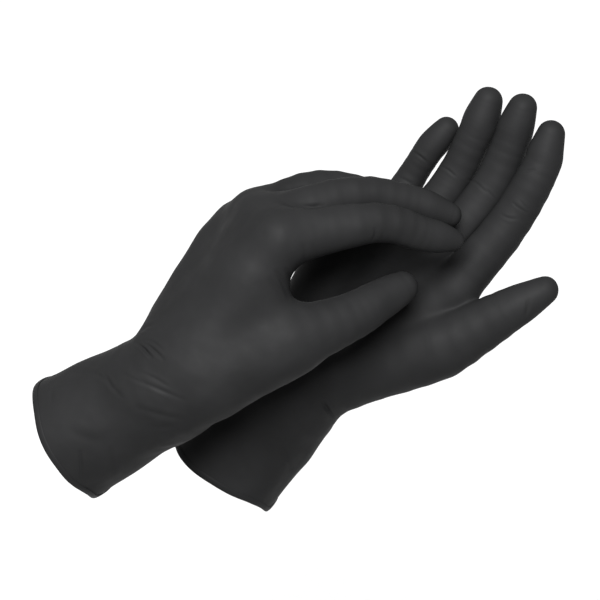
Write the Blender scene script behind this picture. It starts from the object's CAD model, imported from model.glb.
import math

import bpy
import numpy as np
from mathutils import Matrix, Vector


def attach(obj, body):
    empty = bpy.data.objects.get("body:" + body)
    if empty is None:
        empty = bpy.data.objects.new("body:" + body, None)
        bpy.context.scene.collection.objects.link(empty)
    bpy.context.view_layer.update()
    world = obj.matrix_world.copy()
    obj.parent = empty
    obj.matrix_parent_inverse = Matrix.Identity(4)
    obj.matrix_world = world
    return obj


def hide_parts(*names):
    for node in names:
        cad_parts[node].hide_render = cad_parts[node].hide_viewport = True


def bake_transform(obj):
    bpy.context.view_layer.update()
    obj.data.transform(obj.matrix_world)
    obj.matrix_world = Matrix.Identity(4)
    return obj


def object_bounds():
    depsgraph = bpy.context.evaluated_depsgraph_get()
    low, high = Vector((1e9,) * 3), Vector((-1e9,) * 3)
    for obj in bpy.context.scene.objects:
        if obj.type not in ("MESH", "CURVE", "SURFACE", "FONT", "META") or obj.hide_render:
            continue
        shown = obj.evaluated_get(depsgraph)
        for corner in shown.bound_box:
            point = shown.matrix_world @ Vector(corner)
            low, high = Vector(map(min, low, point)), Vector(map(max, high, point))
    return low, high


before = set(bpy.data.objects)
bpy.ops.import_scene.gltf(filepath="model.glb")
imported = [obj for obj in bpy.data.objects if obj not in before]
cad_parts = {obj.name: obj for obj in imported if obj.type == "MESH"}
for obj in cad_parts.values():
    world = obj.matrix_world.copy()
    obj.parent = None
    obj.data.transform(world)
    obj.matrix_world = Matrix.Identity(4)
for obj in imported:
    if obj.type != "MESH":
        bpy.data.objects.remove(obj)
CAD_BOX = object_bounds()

import openvdb as vdb
from mathutils import Vector

# A pair of thin black nitrile gloves, as worn. Lengths below are in millimetres in the row
# frame, and become metres only when a mesh is made.
VOXEL = 1.0
WALL = 0.32

FINGERS = ("index", "middle", "ring", "little")

GLOVES = {
    "right": {
        "rim": (-33.4, -29.7, -37.9, 32.0), "wrist": (0.0, 0.0, 0.0, 28.8),
        "heel": ((11.4, 31.5, 11.3, 17.0), (21.2, 54.8, 24.7, 15.0)),
        "thumb": ((30.8, -0.1, 10.4, 17.2), (76.0, 2.1, 33.6, 15.5), (109.2, 12.1, 52.1, 11.1), (127.0, 18.2, 61.3, 8.3)),
        "index": ((83.7, 28.8, 46.7, 12.1), (112.5, 56.8, 68.6, 10.7), (126.1, 76.4, 85.7, 9.5), (130.9, 88.0, 95.8, 8.6)),
        "middle": ((71.4, 43.1, 44.5, 12.3), (99.6, 72.4, 64.9, 10.4), (111.5, 91.0, 83.7, 9.6), (117.1, 103.3, 96.5, 8.8)),
        "ring": ((58.0, 56.2, 40.5, 12.0), (81.0, 82.2, 57.8, 9.8), (94.0, 99.5, 77.0, 9.4), (100.1, 112.2, 90.1, 8.7)),
        "little": ((42.8, 65.7, 35.6, 11.5), (59.6, 88.3, 48.8, 8.0), (70.2, 99.2, 63.1, 7.6), (79.4, 107.4, 72.3, 7.3)),
        "web_blend": (2.5, 5.0, 0.50, 0.30), "thumb_blend": 7.0, "thumb_tip": 0.86, "palm_sign": 1.0, "seed": 3, "bridge": 6.0, "crease": 0.018, "palm_blend": 8.0, "slack": 0.0, "tips": 0.84, "join": 3.5,
        "corners": ((8, 15, -3.0), (-108, 28, -1.7), (-34, 15, 1.0)), "swell": ((34, 24, 12, 24, -1.3), (6, 24, 9, 22, 0.6)),
        "web_point": (72.868, 58.399, 48.622), "web_normal": (0.5895, 0.6693, 0.4522),
        "across": (0.7279, -0.6567, 0.1975), "sleeve": (0.56996, 0.50682, 0.64675),
        "roots": {"thumb": (92.6, 7.3, 42.95), "index": (92.649, 37.624, 53.584), "middle": (79.390, 51.491, 50.342),
                  "ring": (66.107, 65.610, 46.762), "little": (52.782, 79.493, 43.586)},
    },
    "left": {
        "rim": (-109.6, -42.1, 19.6, 32.5), "wrist": (-61.3, -30.9, 52.6, 26.5),
        "heel": ((-50.7, 1.9, 61.2, 16.5), (-34.5, 35.9, 70.4, 13.5)),
        "thumb": ((-37.6, -33.7, 66.0, 18.0), (0.2, -20.3, 79.5, 15.0), (30.8, -4.8, 76.9, 11.8), (55.3, 12.7, 74.3, 9.0)),
        "index": ((-5.1, 16.9, 113.7, 13.2), (41.4, 29.8, 108.4, 10.0), (65.4, 31.3, 95.4, 8.2), (79.6, 32.4, 88.0, 7.2)),
        "middle": ((-12.6, 33.0, 102.2, 12.3), (31.0, 51.3, 98.9, 9.9), (60.1, 53.5, 88.6, 8.7), (78.3, 51.4, 81.6, 7.8)),
        "ring": ((-15.8, 46.4, 89.3, 11.7), (15.2, 63.9, 84.2, 9.8), (46.5, 65.1, 75.7, 8.4), (66.9, 64.1, 70.5, 7.6)),
        "little": ((-25.8, 49.6, 71.3, 11.1), (5.2, 62.8, 64.0, 8.4), (23.5, 66.0, 57.8, 7.6), (35.8, 65.4, 53.9, 7.2)),
        "web_blend": (11.0, 17.0, 0.84, 0.70), "thumb_blend": 14.0, "thumb_tip": 0.86, "palm_sign": -1.0, "seed": 8, "bridge": 11.0, "crease": 0.016, "palm_blend": 12.0, "slack": 1.8, "tips": 0.76, "join": 8.0,
        "corners": ((26, 14, -2.6), (-5, 30, -1.5), (-86, 28, 1.9), (-150, 18, -2.2)), "swell": ((30, -166, 17, 26, -1.2), (57, -166, 5.5, 32, 1.6)),
        "web_point": (-1.928, 41.901, 92.195), "web_normal": (0.9176, 0.3765, -0.1276),
        "across": (0.3650, -0.5735, 0.7334), "sleeve": (0.81095, 0.18805, 0.55407),
        "roots": {"thumb": (11.828, -14.410, 78.512), "index": (9.434, 20.932, 112.043), "middle": (0.687, 38.577, 101.194),
                  "ring": (-6.767, 51.948, 87.043), "little": (-11.120, 56.074, 67.911)},
    },
}

# The view from which the pair is usually looked at, 60 degrees up: a point's place on that
# view's plane, in millimetres, is what the folds below are laid out by.
EYE_OFFSET = np.array([-5.15, -12.572, -62.684])
EYE_DISTANCE = 1600.0
TO_EYE = np.array([0.0, -0.5, math.sqrt(0.75)])

# Folds of the film on the side towards that view: points across and up the view in half
# millimetres from its top left corner, half width in mm, depth in mm, share raised beside it.
FOLDS = {
    "left": [
        (((135, 342), (143, 348), (151, 357)), 0.75, 0.9, 0.3),
        (((137, 341), (149, 346), (163, 359)), 0.8, 0.5, 0.4),
        (((139, 340), (150, 341), (162, 349)), 0.8, 0.35, 0.4),
        (((138, 332), (146, 327), (156, 324)), 0.8, 0.4, 0.4),
        (((141, 330), (150, 330), (160, 328)), 0.7, 0.25, 0.4),
        (((126, 376), (151, 386), (184, 400)), 0.9, 0.26, 0.3),
        (((140, 372), (154, 378), (168, 386)), 0.8, 0.16, 0.5),
        (((70, 372), (97, 374), (122, 397)), 1.0, 0.26, 0.5),
        (((101, 370), (107, 378), (112, 387)), 0.8, 0.20, 0.5),
        (((138, 408), (162, 415), (190, 421)), 1.3, 0.26, 0.5),
        (((150, 427), (166, 427), (182, 423)), 1.2, 0.18, 0.5),
        (((70, 430), (84, 437), (104, 441)), 2.2, 0.22, 0.5),
        (((80, 452), (81, 466), (83, 482)), 0.95, 0.7, 0.3),
        (((111, 450), (113, 463), (116, 476)), 1.2, 0.5, 0.3),
        (((122, 458), (124, 466), (127, 476)), 1.1, 0.28, 0.4),
        (((53, 384), (51, 392), (50, 402)), 1.0, 0.20, 0.4),
        (((375, 229), (375, 235), (373, 241)), 0.7, 0.40, 0.3),
        (((383, 231), (383, 237), (381, 243)), 0.7, 0.18, 0.3),
        (((277, 272), (283, 284), (289, 298)), 1.0, 0.40, 0.4),
        (((286, 270), (292, 282), (297, 294)), 0.9, 0.35, 0.4),
        (((270, 280), (278, 290), (286, 300)), 1.2, 0.25, 0.4),
        (((303, 245), (305, 254), (304, 262)), 0.9, 0.25, 0.4),
        (((312, 243), (315, 252), (315, 260)), 0.9, 0.20, 0.4),
        (((300, 205), (311, 207), (323, 206)), 1.3, 1.1, 0.0),
        (((277, 193), (289, 188), (304, 184)), 1.0, 0.6, 0.15),
    ],
    "right": [
        (((518, 172), (526, 171), (534, 170)), 0.6, 0.32, 0.3),
        (((500, 214), (508, 218), (517, 219)), 0.7, 0.26, 0.3),
        (((512, 202), (519, 208), (527, 213)), 0.55, 0.22, 0.15),
        (((519, 200), (525, 206), (530, 210)), 0.55, 0.14, 0.15),
        (((467, 179), (476, 183), (486, 192)), 0.6, 0.26, 0.3),
        (((487, 190), (493, 197), (498, 203)), 0.6, 0.20, 0.3),
        (((442, 167), (448, 170), (455, 176)), 0.6, 0.34, 0.3),
        (((411, 151), (418, 155), (427, 162)), 0.6, 0.34, 0.3),
        (((397, 177), (404, 180), (412, 184)), 0.8, 0.26, 0.3),
        (((322, 402), (328, 410), (335, 419)), 1.0, 1.3, 0.3),
        (((281, 444), (286, 456), (290, 468)), 1.0, 0.5, 0.4),
        (((275, 440), (281, 450), (286, 460)), 0.9, 0.20, 0.4),
        (((293, 404), (295, 414), (294, 424)), 1.0, 0.24, 0.4),
        (((528, 300), (528, 308), (526, 316)), 0.9, 0.40, 0.4),
        (((236, 452), (246, 470), (258, 488)), 2.2, 0.20, 0.5),
    ],
}


def vec(p):
    return np.array(p[:3], np.float64)


def unit(v):
    return v / np.linalg.norm(v)


def smooth_min(a, b, k):
    k = 1.5 * k
    h = np.maximum(k - np.abs(a - b), 0) / k
    return np.minimum(a, b) - h * h * h * k / 6


def smooth_max(a, b, k):
    return -smooth_min(-a, -b, k)


def step(x, lo, hi):
    t = np.clip((x - lo) / (hi - lo), 0, 1)
    return t * t * (3 - 2 * t)


def capsule(P, a, ra, b, rb):
    ab = (b - a).astype(P.dtype)
    t = np.clip(((P - a.astype(P.dtype)) @ ab) / (ab @ ab), 0, 1)
    q = P - a.astype(P.dtype) - t[:, None] * ab
    return np.sqrt((q * q).sum(1)) - (ra + t * (rb - ra)).astype(P.dtype)


def finger_line(points, slim):
    """A smooth line of balls from the root ball to a tip that narrows over its last part."""
    (pa, ra), (pb, rb) = points[-2], points[-1]
    u = unit(pb - pa)
    points = points[:-1] + [
        (pa * 0.45 + pb * 0.55, ra * 0.30 + rb * 0.70 + 0.15),
        (pb + u * rb * (1 - slim), rb * slim),
    ]
    P, R = np.array([p for p, r in points]), np.array([r for p, r in points])
    X = np.column_stack([P, R])
    ext = np.vstack([2 * X[0] - X[1], X, 2 * X[-1] - X[-2]])
    out = []
    for i in range(len(X) - 1):
        n = 4
        for j in range(n):
            t = j / n
            a, b, c, d = ext[i : i + 4]
            out.append(0.5 * (2 * b + (c - a) * t + (2 * a - 5 * b + 4 * c - d) * t * t + (3 * b - a - 3 * c + d) * t**3))
    out.append(X[-1])
    return np.array(out)


def chain(P, line, k):
    d = None
    for a, b in zip(line, line[1:]):
        e = capsule(P, a[:3], a[3], b[:3], b[3])
        d = e if d is None else smooth_min(d, e, k)
    return d


class Glove:
    """The stretched film of one glove as a field: below 0 inside the hand's space."""

    def __init__(self, side):
        T = GLOVES[side]
        self.side, self.T = side, T
        J = {}
        J["rim"], J["wrist"] = (vec(T["rim"]), T["rim"][3]), (vec(T["wrist"]), T["wrist"][3])
        for name, p in zip(("hyp", "hyp2"), T["heel"]):
            J[name] = (vec(p), p[3])
        for name, p in zip(("cmc", "tmcp", "ip", "ttip"), T["thumb"]):
            J[name] = (vec(p), p[3])
        for f in FINGERS:
            for name, p in zip(("mcp_", "pip_", "dip_", "tip_"), T[f]):
                J[name + f] = (vec(p), p[3])
        self.J = J
        self.lines = {f: finger_line([(vec(p), p[3]) for p in T[f]], T["tips"]) for f in FINGERS}
        self.thumb_line = finger_line([(vec(p), p[3]) for p in T["thumb"]], T["thumb_tip"])
        w = J["wrist"]
        across = unit(J["mcp_index"][0] - J["mcp_little"][0])
        self.car2 = (w[0] + across * 11 + 0.18 * (J["mcp_index"][0] - w[0]), 16.5)
        self.car3 = (w[0] + across * 3 + 0.18 * (J["mcp_middle"][0] - w[0]), 17.0)
        self.car5 = (w[0] - across * 11 + 0.18 * (J["mcp_little"][0] - w[0]), 16.0)
        self.axis = unit(J["wrist"][0] - J["rim"][0])
        self.side_x = unit(np.cross(self.axis, (0, 0, 1)))
        self.side_y = np.cross(self.axis, self.side_x)
        self.web_n = unit(np.array(T["web_normal"]))
        self.web_p = np.array(T["web_point"])
        self.root = {f: np.array(T["roots"][f]) for f in T["roots"]}
        self.joint = {f: J["pip_" + f][0] for f in FINGERS}
        self.joint["thumb"] = J["ip"][0]
        self.dir = {f: unit(self.joint[f] - self.root[f]) for f in self.root}
        rng = np.random.default_rng(T["seed"])
        self.waves = []
        for size, amount, count in ((34.0, 0.20, 5), (15.0, 0.06, 7), (7.5, 0.018, 7)):
            for _ in range(count):
                k = unit(rng.normal(size=3)) * 2 * math.pi / (size * rng.uniform(0.8, 1.3))
                self.waves.append((k, rng.uniform(0, 2 * math.pi), amount / math.sqrt(count / 2)))

    def seg(self, P, a, b):
        return capsule(P, a[0], a[1], b[0], b[1])

    def between(self, a, b, t, r=None):
        a, b = (self.J[a] if isinstance(a, str) else a), (self.J[b] if isinstance(b, str) else b)
        return (a[0] * (1 - t) + b[0] * t, a[1] * (1 - t) + b[1] * t if r is None else r)

    def thumb(self, P):
        return chain(P, self.thumb_line, 0.7)

    def core(self, P):
        J, w, rim = self.J, self.J["wrist"], self.J["rim"]
        d = self.seg(P, (rim[0] - self.axis * 12, rim[1] + 12 * (rim[1] - w[1]) / np.linalg.norm(w[0] - rim[0])), w)
        palm = self.seg(P, w, (w[0] + 0.15 * (J["mcp_middle"][0] - w[0]), w[1] - 3))
        k, less = self.T["palm_blend"], self.T["slack"]
        for a, f in ((self.car2, "index"), (self.car3, "middle"), (self.car3, "ring"), (self.car5, "little")):
            b = J["mcp_" + f]
            palm = smooth_min(palm, capsule(P, a[0], a[1] - less, b[0], b[1] - less), k)
        if less:
            for a1, f, a2, g in ((self.car2, "index", self.car3, "middle"), (self.car3, "middle", self.car3, "ring"), (self.car3, "ring", self.car5, "little")):
                b1, b2 = J["mcp_" + f], J["mcp_" + g]
                palm = smooth_min(palm, capsule(P, 0.5 * (a1[0] + a2[0]), 0.5 * (a1[1] + a2[1]) - less - 0.3,
                                                0.5 * (b1[0] + b2[0]), 0.5 * (b1[1] + b2[1]) - less - 0.3), k)
        d = smooth_min(d, palm, 10)
        r, k, ta, tb = self.T["web_blend"]
        d = smooth_min(d, self.seg(P, self.between("cmc", "tmcp", ta, r), self.between(self.car2, "mcp_index", tb, r)), k)
        d = smooth_min(d, self.seg(P, J["hyp"], J["hyp2"]), 12)
        best = smooth_min(d, self.seg(P, J["cmc"], J["tmcp"]), self.T["thumb_blend"])
        return smooth_min(best, self.thumb(P), 0.9 * self.T["join"])

    def stall(self, P, f):
        return chain(P, self.lines[f], 0.5)

    def bridge(self, P):
        """How widely the film spans from finger to finger: much at the knuckles, little at the webs."""
        s = (P - self.web_p.astype(P.dtype)) @ self.web_n.astype(P.dtype)
        return (self.T["bridge"] * (1 - step(s, -20, 1.5)) + 0.6).astype(P.dtype)

    def whole(self, P):
        k, out = self.bridge(P), None
        for f in FINGERS:
            one = self.stall(P, f)
            out = one if out is None else smooth_min(out, one, k)
        return smooth_min(self.core(P), out, self.T["join"])

    def finger(self, P, f):
        own = self.stall(P, f)
        out = smooth_min(self.core(P), own, self.T["join"])
        i = FINGERS.index(f)
        for j in (i - 1, i + 1):
            if 0 <= j < 4:
                out = smooth_max(out, (own - self.stall(P, FINGERS[j])) * 0.5 + 0.1, 0.8)
        return out

    # ---- folds, as a depth below the stretched film ----
    def along(self, P):
        return (P - self.J["rim"][0]) @ self.axis

    def turn(self, P):
        q = P - self.J["rim"][0]
        return np.arctan2(q @ self.side_y, q @ self.side_x)

    def depth(self, P, N):
        d = np.zeros(len(P))
        for k, phase, amount in self.waves:
            d += amount * np.sin(P @ k + phase)
        # the loose cuff: slack folds that die out towards the wrist
        a, th, s = self.along(P), self.turn(P), self.T["seed"]
        loose = 1 - step(a, 8, 52)
        d += loose * (0.5 * np.sin(3 * th + s) + 0.3 * np.sin(5 * th + 2.1 * s + a * 0.03) + 0.12 * np.sin(8 * th + s - a * 0.05))
        for at, way, long, wide, much in self.T["swell"]:
            off = (np.degrees(th) - way + 180) % 360 - 180
            d += much * np.exp(-(((a - at) / long) ** 2) - (off / wide) ** 2)
        # rings of small folds where the wrist bends
        wrist = np.exp(-((P - self.J["wrist"][0]) @ self.axis / 13.0) ** 2)
        d += wrist * 0.05 * np.sin((P - self.J["wrist"][0]) @ self.axis * 2 * math.pi / 7.5 + 0.9 * np.sin(3 * th + s))
        # the fingers' joints: creases inside the bend, stretched film with fine lines outside
        for f in (*FINGERS, "thumb"):
            points = self.T[f]
            for i, (j, size) in enumerate(((1, 1.0), (2, 0.8))):
                p, before, after = vec(points[j]), vec(points[j - 1]), vec(points[j + 1])
                u = unit(unit(p - before) + unit(after - p))
                q = P - p
                x = q @ u
                near = np.exp(-(x / (5.5 * size)) ** 2) * (np.sqrt(np.maximum((q * q).sum(1) - x * x, 0)) < points[j][3] + 4.0)
                if not near.any():
                    continue
                bend = unit(np.cross(np.array(self.T["across"]), u)) * self.T["palm_sign"]
                inside = N @ bend
                wander = 0.7 * np.sin(P @ bend * 0.45 + 5 * j) + 0.5 * np.sin(P @ np.array(self.T["across"]) * 0.5 + 3 * i)
                d += near * step(inside, -0.1, 0.75) * self.T["crease"] * size * (0.35 + np.cos((x + wander) * 2 * math.pi / (3.9 * size)))
                d += near * step(-inside, 0.1, 0.8) * 0.004 * np.cos((x + wander) * 2 * math.pi / 3.0)
        # long folds across the palm
        d += self.palm_lines(P, N)
        # folds laid out on the usual view
        q = P + EYE_OFFSET
        b = q[:, 1] * TO_EYE[2] + q[:, 2] * 0.5
        c = q @ TO_EYE
        k = 0.5 * (1 - c / EYE_DISTANCE)
        X = np.stack([300 + q[:, 0] / k, 300 - b / k], 1)
        facing = step(N @ TO_EYE, 0.05, 0.4)
        for points, width, depth, raised in FOLDS[self.side]:
            pts = np.array(points, float)
            reach = width * 2 * 4.5
            near = np.where((X > pts.min(0) - reach).all(1) & (X < pts.max(0) + reach).all(1) & (facing > 0))[0]
            if len(near) == 0:
                continue
            best, share = line_distance(X[near], pts)
            best = best * 0.5
            taper = np.sin(np.pi * np.clip(share * 0.86 + 0.07, 0, 1)) ** 0.8
            cut = np.exp(-(best / width) ** 2) - raised * np.exp(-((best - 2.1 * width) / (1.2 * width)) ** 2)
            d[near] += facing[near] * taper * depth * cut
        return d

    def palm_lines(self, P, N):
        J = self.J
        a, b = J["mcp_index"][0], J["mcp_little"][0]
        mid = J["wrist"][0]
        palm = unit(np.cross(np.array(self.T["across"]), self.web_n)) * self.T["palm_sign"]
        out = np.zeros(len(P))
        facing = step(N @ palm, 0.35, 0.75)
        if not facing.any():
            return out
        x = unit(a - b)
        y = unit(np.cross(palm, x))
        if y @ (0.5 * (a + b) - mid) < 0:
            y = -y
        origin = 0.5 * (a + b)
        S = np.stack([(P - origin) @ x, (P - origin) @ y], 1)
        reach = np.linalg.norm(origin - mid)
        for pts, width, depth in (
            (((16, -12), (4, -22), (-2, -40), (-1, -0.85 * reach)), 1.8, 0.26),
            (((20, -9), (6, -14), (-10, -22), (-22, -34)), 1.5, 0.20),
            (((-24, -8), (-10, -7), (6, -2), (14, 4)), 1.4, 0.16),
        ):
            best, share = line_distance(S, np.array(pts, float))
            cut = np.exp(-(best / width) ** 2) - 0.5 * np.exp(-((best - 2.1 * width) / (1.2 * width)) ** 2)
            out += facing * np.sin(np.pi * np.clip(share * 0.86 + 0.07, 0, 1)) ** 0.8 * depth * cut
        return out

    def rim_shift(self, th):
        s = self.T["seed"]
        shift = 0.6 * np.sin(2 * th + s) + 0.3 * np.sin(3 * th + 2.7 * s) + 0.12 * np.sin(7 * th + s)
        for at, wide, much in self.T["corners"]:
            off = (np.degrees(th) - at + 180) % 360 - 180
            shift = shift + much * np.exp(-(off / wide) ** 2)
        return shift

    def drawn(self, P, N):
        """Points and normals of the film with its folds, from those of the stretched film."""
        d = self.depth(P, N)
        u = np.cross(N, np.where(np.abs(N[:, :1]) < 0.7, (1.0, 0, 0), (0, 1.0, 0)))
        u /= np.linalg.norm(u, axis=1, keepdims=True)
        v = np.cross(N, u)
        e = 0.35
        du = (self.depth(P + e * u, N) - self.depth(P - e * u, N)) / (2 * e)
        dv = (self.depth(P + e * v, N) - self.depth(P - e * v, N)) / (2 * e)
        n = N + du[:, None] * u + dv[:, None] * v
        n /= np.linalg.norm(n, axis=1, keepdims=True)
        out = P - d[:, None] * N
        a = self.along(P)
        out += ((1 - step(a, 0, 26)) * self.rim_shift(self.turn(P)))[:, None] * self.axis
        return out, n


def line_distance(X, pts):
    """Distance from each point to a smooth line through pts, and the share of its length there."""
    t = np.linspace(0, len(pts) - 1, 6 * (len(pts) - 1) + 1)
    i = np.clip(t.astype(int), 0, len(pts) - 2)
    f = (t - i)[:, None]
    ext = np.vstack([2 * pts[0] - pts[1], pts, 2 * pts[-1] - pts[-2]])
    p0, p1, p2, p3 = ext[i], ext[i + 1], ext[i + 2], ext[i + 3]
    line = 0.5 * (2 * p1 + (p2 - p0) * f + (2 * p0 - 5 * p1 + 4 * p2 - p3) * f**2 + (3 * p1 - p0 - 3 * p2 + p3) * f**3)
    run = np.concatenate([[0], np.cumsum(np.linalg.norm(np.diff(line, axis=0), axis=1))])
    best, share = np.full(len(X), 1e9), np.zeros(len(X))
    for j in range(len(line) - 1):
        a, ab = line[j], line[j + 1] - line[j]
        s = np.clip(((X - a) @ ab) / (ab @ ab), 0, 1)
        dist = np.linalg.norm(X - a - s[:, None] * ab, axis=1)
        better = dist < best
        best[better] = dist[better]
        share[better] = ((run[j] + s * (run[j + 1] - run[j])) / run[-1])[better]
    return best, share


def gradient(func, P, e=0.05):
    g = np.empty(P.shape)
    for i in range(3):
        s = np.zeros(3)
        s[i] = e
        g[:, i] = (func(P + s) - func(P - s)) / (2 * e)
    return g


def surface(func, lo, hi):
    """Triangles on func = 0 in a box, with the points moved onto it, and their normals."""
    h = VOXEL
    n = np.ceil((np.array(hi) - np.array(lo)) / h).astype(int)
    block = 4
    nb = -(-n // block)
    n = nb * block
    lo = np.array(lo, float)
    c = [lo[i] + (np.arange(nb[i]) + 0.5) * block * h - 0.5 * h for i in range(3)]
    C = np.stack(np.meshgrid(*c, indexing="ij"), -1).reshape(-1, 3).astype(np.float32)
    fc = func(C)
    grid = np.repeat(np.repeat(np.repeat(fc.reshape(nb), block, 0), block, 1), block, 2).astype(np.float32)
    close = np.abs(fc) < 0.5 * math.sqrt(3) * block * h * 1.15 + 1.5 * h
    index = np.stack(np.unravel_index(np.where(close)[0], nb), 1) * block
    o = np.stack(np.meshgrid(*[np.arange(block)] * 3, indexing="ij"), -1).reshape(-1, 3)
    I = (index[:, None, :] + o[None]).reshape(-1, 3)
    for s in range(0, len(I), 400000):
        J = I[s : s + 400000]
        grid[J[:, 0], J[:, 1], J[:, 2]] = func((lo + J * h).astype(np.float32))
    g = vdb.FloatGrid(10.0)
    g.copyFromArray(grid)
    V, T, Q = g.convertToPolygons(isovalue=0.0, adaptivity=0.0)
    V = np.asarray(V, float)
    T = np.asarray(T, np.int64).reshape(-1, 3)
    Q = np.asarray(Q, np.int64).reshape(-1, 4)
    V = lo + V * h
    T = np.vstack([T, Q[:, [0, 1, 2]], Q[:, [0, 2, 3]]]) if len(Q) else T
    for _ in range(3):
        d = gradient(func, V)
        f = func(V)
        move = (f / np.maximum((d * d).sum(1), 0.25))[:, None] * d
        length = np.linalg.norm(move, axis=1, keepdims=True)
        V = V - move * np.minimum(1, 0.7 * h / np.maximum(length, 1e-9))
    N = gradient(func, V)
    N /= np.maximum(np.linalg.norm(N, axis=1, keepdims=True), 1e-9)
    flat = np.cross(V[T[:, 1]] - V[T[:, 0]], V[T[:, 2]] - V[T[:, 0]])
    if (flat * N[T[:, 0]]).sum() < 0:
        T = T[:, ::-1]
    return V, N, T


def clip(V, N, T, g):
    """The part of the surface where g <= 0, with new points where its triangles cross 0."""
    g = np.where(np.abs(g) < 1e-6, -1e-6, g)
    out = g > 0
    count = out[T].sum(1)
    keep = [T[count == 0]]
    V, N = [V], [N]
    edges = {}
    total = len(V[0])
    new_v, new_n = [], []

    def cut(i, j):
        nonlocal total
        key = (i, j) if i < j else (j, i)
        if key not in edges:
            i, j = key
            t = g[i] / (g[i] - g[j])
            new_v.append(V[0][i] * (1 - t) + V[0][j] * t)
            new_n.append(N[0][i] * (1 - t) + N[0][j] * t)
            edges[key] = total
            total += 1
        return edges[key]

    made = []
    for tri in T[(count == 1) | (count == 2)]:
        o = out[tri]
        k = int(np.where(o)[0][0]) if o.sum() == 1 else int(np.where(~o)[0][0])
        a, b, c = int(tri[k]), int(tri[(k + 1) % 3]), int(tri[(k + 2) % 3])
        p, q = cut(a, b), cut(a, c)
        if o.sum() == 1:
            made += [(p, b, c), (p, c, q)]
        else:
            made.append((a, p, q))
    if made:
        keep.append(np.array(made))
        V.append(np.array(new_v))
        N.append(np.array(new_n))
    return tidy(np.vstack(V), np.vstack(N), np.vstack(keep))


def tidy(V, N, T):
    used = np.zeros(len(V), bool)
    used[T.ravel()] = True
    new = np.cumsum(used) - 1
    return V[used], N[used] / np.linalg.norm(N[used], axis=1, keepdims=True), new[T]


def piece_with(V, N, T, point):
    """The connected part of the surface nearest to a point."""
    label = np.arange(len(V))
    E = np.vstack([T[:, [0, 1]], T[:, [1, 2]], T[:, [2, 0]]])
    while True:
        m = np.minimum(label[E[:, 0]], label[E[:, 1]])
        new = label.copy()
        np.minimum.at(new, E[:, 0], m)
        np.minimum.at(new, E[:, 1], m)
        new = new[new]
        if (new == label).all():
            break
        label = new
    near = label[np.argmin(((V - point) ** 2).sum(1))]
    return tidy(V, N, T[label[T[:, 0]] == near])


def shell(name, V, N, T):
    """A closed thin film: V and T outside, the same inside by the wall, joined along the edges."""
    n = len(V)
    inner = V - N * WALL
    E = np.vstack([T[:, [0, 1]], T[:, [1, 2]], T[:, [2, 0]]])
    key = E[:, 0].astype(np.int64) * n + E[:, 1]
    back = E[:, 1].astype(np.int64) * n + E[:, 0]
    edge = E[~np.isin(key, back)]
    rim = np.vstack([
        np.stack([edge[:, 1], edge[:, 0], edge[:, 0] + n], 1),
        np.stack([edge[:, 1], edge[:, 0] + n, edge[:, 1] + n], 1),
    ])
    F = np.vstack([T, T[:, ::-1] + n, rim])
    return mesh(name, np.vstack([V, inner]), F, np.vstack([N, -N]))


def mesh(name, V, F, normals):
    me = bpy.data.meshes.new(name)
    me.vertices.add(len(V))
    me.vertices.foreach_set("co", (V / 1000.0).astype(np.float32).ravel())
    k = F.shape[1]
    me.loops.add(F.size)
    me.loops.foreach_set("vertex_index", F.astype(np.int32).ravel())
    me.polygons.add(len(F))
    me.polygons.foreach_set("loop_start", np.arange(0, F.size, k, dtype=np.int32))
    me.polygons.foreach_set("use_smooth", np.ones(len(F), bool))
    me.update(calc_edges=True)
    me.validate()
    me.normals_split_custom_set_from_vertices([tuple(v) for v in normals.astype(float)])
    ob = bpy.data.objects.new(name, me)
    bpy.context.scene.collection.objects.link(ob)
    return ob


# ---------------------------------------------------------------- materials
def node(nt, kind, x=0, y=0, **values):
    n = nt.nodes.new(kind)
    n.location = (x, y)
    for k, v in values.items():
        setattr(n, k, v)
    return n


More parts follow.
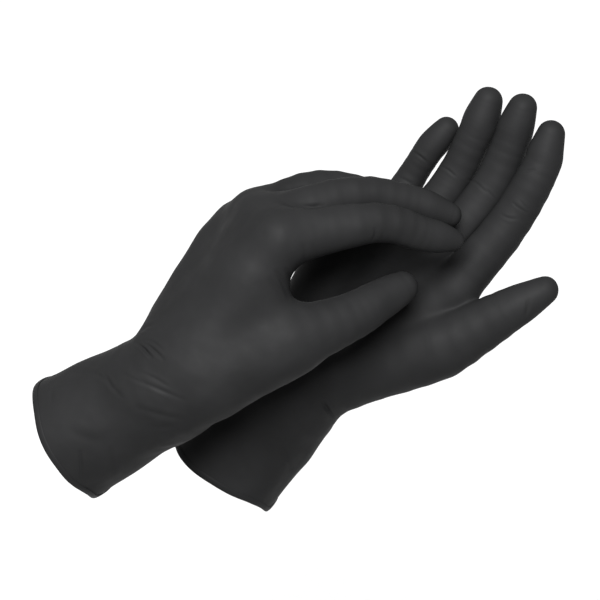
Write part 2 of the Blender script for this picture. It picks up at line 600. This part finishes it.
def nitrile(name, dark, light, rough_lo, rough_hi, grain):
    m = bpy.data.materials.new(name)
    m.use_nodes = True
    nt = m.node_tree
    b = nt.nodes["Principled BSDF"]
    b.inputs["Specular IOR Level"].default_value = 0.07
    b.inputs["IOR"].default_value = 1.5
    co = node(nt, "ShaderNodeTexCoord", -1400, 0)
    cloud = node(nt, "ShaderNodeTexNoise", -1150, 200)
    cloud.inputs["Scale"].default_value = 38.0
    cloud.inputs["Detail"].default_value = 4.0
    cloud.inputs["Roughness"].default_value = 0.55
    nt.links.new(co.outputs["Object"], cloud.inputs["Vector"])
    tone = node(nt, "ShaderNodeValToRGB", -850, 300)
    tone.color_ramp.elements[0].position = 0.32
    tone.color_ramp.elements[0].color = (*dark, 1)
    tone.color_ramp.elements[1].position = 0.70
    tone.color_ramp.elements[1].color = (*light, 1)
    nt.links.new(cloud.outputs["Fac"], tone.inputs["Fac"])
    nt.links.new(tone.outputs["Color"], b.inputs["Base Color"])
    patch = node(nt, "ShaderNodeTexNoise", -1150, -80)
    patch.inputs["Scale"].default_value = 95.0
    patch.inputs["Detail"].default_value = 5.0
    nt.links.new(co.outputs["Object"], patch.inputs["Vector"])
    rough = node(nt, "ShaderNodeMapRange", -850, -80)
    rough.inputs["From Min"].default_value = 0.3
    rough.inputs["From Max"].default_value = 0.7
    rough.inputs["To Min"].default_value = rough_lo
    rough.inputs["To Max"].default_value = rough_hi
    nt.links.new(patch.outputs["Fac"], rough.inputs["Value"])
    nt.links.new(rough.outputs["Result"], b.inputs["Roughness"])
    # orange peel of the dipped film, then its fine chlorinated grain
    peel = node(nt, "ShaderNodeTexNoise", -1150, -340)
    peel.inputs["Scale"].default_value = 420.0
    peel.inputs["Detail"].default_value = 3.0
    fine = node(nt, "ShaderNodeTexNoise", -1150, -600)
    fine.inputs["Scale"].default_value = 1900.0
    fine.inputs["Detail"].default_value = 4.0
    nt.links.new(co.outputs["Object"], peel.inputs["Vector"])
    nt.links.new(co.outputs["Object"], fine.inputs["Vector"])
    b1 = node(nt, "ShaderNodeBump", -560, -340)
    b1.inputs["Strength"].default_value = 0.35
    b1.inputs["Distance"].default_value = 0.00012 * grain
    b2 = node(nt, "ShaderNodeBump", -300, -340)
    b2.inputs["Strength"].default_value = 0.35
    b2.inputs["Distance"].default_value = 0.00005 * grain
    nt.links.new(peel.outputs["Fac"], b1.inputs["Height"])
    nt.links.new(fine.outputs["Fac"], b2.inputs["Height"])
    nt.links.new(b1.outputs["Normal"], b2.inputs["Normal"])
    nt.links.new(b2.outputs["Normal"], b.inputs["Normal"])
    return m


FILM = nitrile("black_nitrile_film", (0.0118, 0.0119, 0.0122), (0.0148, 0.0149, 0.0153), 0.58, 0.68, 1.0)
BEAD = nitrile("black_nitrile_bead", (0.0106, 0.0107, 0.0110), (0.0134, 0.0135, 0.0139), 0.48, 0.58, 0.8)


def finish_piece(ob, material, nodes):
    ob.data.materials.append(material)
    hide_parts(*nodes)


for side in ("right", "left"):
    G = Glove(side)
    J = G.J
    hand, cuff = f"{side}_hand", f"{side}_cuff"
    wrist = J["wrist"][0]

    # the hand and cuff in one surface, then cut where the film is shared out
    names = ["wrist", "cmc", "tmcp", "hyp", "hyp2"] + ["mcp_" + f for f in FINGERS]
    pts = [(J[n][0], J[n][1]) for n in names]
    pts += [(G.root[f], 13.0) for f in G.root]
    pts.append((J["rim"][0], J["rim"][1]))
    lo = np.min([p - r - 4 for p, r in pts], 0)
    hi = np.max([p + r + 4 for p, r in pts], 0)
    V, N, T = surface(G.whole, lo, hi)
    # fingers go at the web, the thumb at its own root
    stalls = np.min([G.stall(V, f) for f in FINGERS], 0)
    is_thumb = G.thumb(V) < stalls
    g = np.where(is_thumb, (V - G.root["thumb"]) @ G.dir["thumb"], (V - G.web_p) @ G.web_n)
    V, N, T = clip(V, N, T, g)
    # the cuff's edge, inside its bead
    V, N, T = clip(V, N, T, 1.5 - G.along(V))
    V, N, T = piece_with(V, N, T, wrist + G.side_x * J["wrist"][1])
    s = (V - wrist) @ G.axis
    parts = {
        "sleeve": clip(V, N, T, s + 16.0),
        "palm_film": clip(V, N, T, 15.0 - s),
    }
    Vw, Nw, Tw = clip(V, N, T, -(s + 16.0))
    parts["wrist_film"] = clip(Vw, Nw, Tw, (Vw - wrist) @ G.axis - 15.0)
    for name, (v, n, t) in parts.items():
        v, n = G.drawn(v, n)
        ob = shell(f"{side}_{name}", v, n, t)
        if name == "sleeve":
            finish_piece(ob, FILM, [cuff])
            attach(ob, cuff)
        elif name == "palm_film":
            own = [n for n in (hand, f"{side}_palm", f"{side}_knuckles", f"{side}_thumb_base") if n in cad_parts]
            finish_piece(ob, FILM, own)
            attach(ob, hand)
        else:
            finish_piece(ob, FILM, [cuff])
            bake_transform(ob)

    # fingers and thumb
    for f in (*FINGERS, "thumb"):
        root, joint, u = G.root[f], G.joint[f], G.dir[f]
        length = float(np.linalg.norm(joint - root))
        first = min(14.0, 0.45 * length)
        if f == "thumb":
            func, plane_n, plane_p = G.whole, u, root
            box = [J["tmcp"], J["ip"], J["ttip"]]
            tip = J["ttip"][0]
        else:
            func = (lambda P, f=f: G.finger(P, f))
            plane_n, plane_p = G.web_n, G.web_p
            box = [J["mcp_" + f], J["pip_" + f], J["dip_" + f], J["tip_" + f]]
            tip = J["tip_" + f][0]
        lo = np.min([p - r - 4 for p, r in box], 0)
        hi = np.max([p + r + 4 for p, r in box], 0)
        V, N, T = surface(func, lo, hi)
        s = (V - plane_p) @ plane_n
        own = G.thumb(V) if f == "thumb" else G.stall(V, f)
        V, N, T = clip(V, N, T, np.where(own > 6.0, 1.0, -s))
        V, N, T = piece_with(V, N, T, tip)
        s = (V - plane_p) @ plane_n
        a = clip(V, N, T, s - first)
        b = clip(V, N, T, first - s)
        v, n = G.drawn(*a[:2])
        ob = shell(f"{side}_{f}_root_film", v, n, a[2])
        finish_piece(ob, FILM, [f"{side}_{f}_root"])
        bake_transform(ob)
        v, n = G.drawn(*b[:2])
        ob = shell(f"{side}_{f}_tip_film", v, n, b[2])
        finish_piece(ob, FILM, [f"{side}_{f}_tip"])
        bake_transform(ob)

    # the rolled bead round the cuff's mouth
    ring, across = 260, 18
    th = np.linspace(0, 2 * math.pi, ring, endpoint=False)
    out = np.cos(th)[:, None] * G.side_x + np.sin(th)[:, None] * G.side_y
    base = J["rim"][0] + out * J["rim"][1] + G.axis * 0.0
    depth = G.depth(base + G.axis * 1.5, out)
    phi = np.linspace(0, 2 * math.pi, across, endpoint=False)
    ca, sa = np.cos(phi), np.sin(phi)
    px = np.sign(ca) * np.abs(ca) ** 0.75 * 1.65
    py = np.sign(sa) * np.abs(sa) ** 0.85 * 0.42
    uneven = 1 + 0.08 * np.sin(9 * th + 1.0) + 0.06 * np.sin(17 * th + G.T["seed"])
    VV, NN = [], []
    for i in range(ring):
        c = base[i] - out[i] * depth[i] + G.axis * (1.5 + G.rim_shift(th[i]) * 1.0)
        for j in range(across):
            VV.append(c + G.axis * px[j] + out[i] * (py[j] * uneven[i] - 0.12))
            nn = G.axis * px[j] / 1.65**2 + out[i] * py[j] / 0.42**2
            NN.append(nn / np.linalg.norm(nn))
    VV, NN = np.array(VV), np.array(NN)
    i, j = np.meshgrid(np.arange(ring), np.arange(across), indexing="ij")
    i2, j2 = (i + 1) % ring, (j + 1) % across
    F = np.stack([i * across + j, i2 * across + j, i2 * across + j2, i * across + j2], -1).reshape(-1, 4)
    f0 = F[0]
    flat = np.cross(VV[f0[1]] - VV[f0[0]], VV[f0[2]] - VV[f0[0]])
    if flat @ NN[f0[0]] < 0:
        F = F[:, ::-1]
    ob = mesh(f"{side}_bead", VV, F, NN)
    finish_piece(ob, BEAD, [f"{side}_cuff_bead"])
    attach(ob, cuff)


# ---------------------------------------------------------------- floor, light, camera
def area(name, where, at, size, power):
    L = bpy.data.lights.new(name, "AREA")
    L.shape = "DISK"
    L.size = size
    L.energy = power
    o = bpy.data.objects.new(name, L)
    bpy.context.scene.collection.objects.link(o)
    o.location = where
    o.rotation_euler = (Vector(at) - Vector(where)).to_track_quat("-Z", "Y").to_euler()
    return o


pale = bpy.data.materials.new("pale_floor")
pale.use_nodes = True
pb = pale.node_tree.nodes["Principled BSDF"]
pb.inputs["Base Color"].default_value = (0.80, 0.80, 0.80, 1)
pb.inputs["Roughness"].default_value = 0.95
pb.inputs["Specular IOR Level"].default_value = 0.0
fm = bpy.data.meshes.new("floor")
ang = np.linspace(0, 2 * math.pi, 64, endpoint=False)
fm.from_pydata([(6 * math.cos(t), 6 * math.sin(t), 0) for t in ang], [], [tuple(range(64))])
fm.materials.append(pale)
floor = bpy.data.objects.new("floor", fm)
floor.location = (0, 0, CAD_BOX[0][2] - 0.80)
bpy.context.scene.collection.objects.link(floor)

world = bpy.data.worlds.new("soft_white")
world.use_nodes = True
world.node_tree.nodes["Background"].inputs["Color"].default_value = (1, 1, 1, 1)
world.node_tree.nodes["Background"].inputs["Strength"].default_value = 0.42
bpy.context.scene.world = world
bpy.context.scene.view_settings.view_transform = "Standard"

area("key", (-0.12, -0.26, 1.90), (0, 0, 0.03), 1.15, 91)

cam = bpy.data.cameras.new("camera")
cam.sensor_width = 36.0
cam.lens = 192.0
cam.clip_start, cam.clip_end = 0.05, 60.0
co = bpy.data.objects.new("camera", cam)
bpy.context.scene.collection.objects.link(co)
co.location = (0.00515, -0.78743, 1.44833)
co.rotation_euler = (Vector((0.00515, 0.01257, 0.06268)) - co.location).to_track_quat("-Z", "Y").to_euler()
bpy.context.scene.camera = co

bpy.context.view_layer.update()
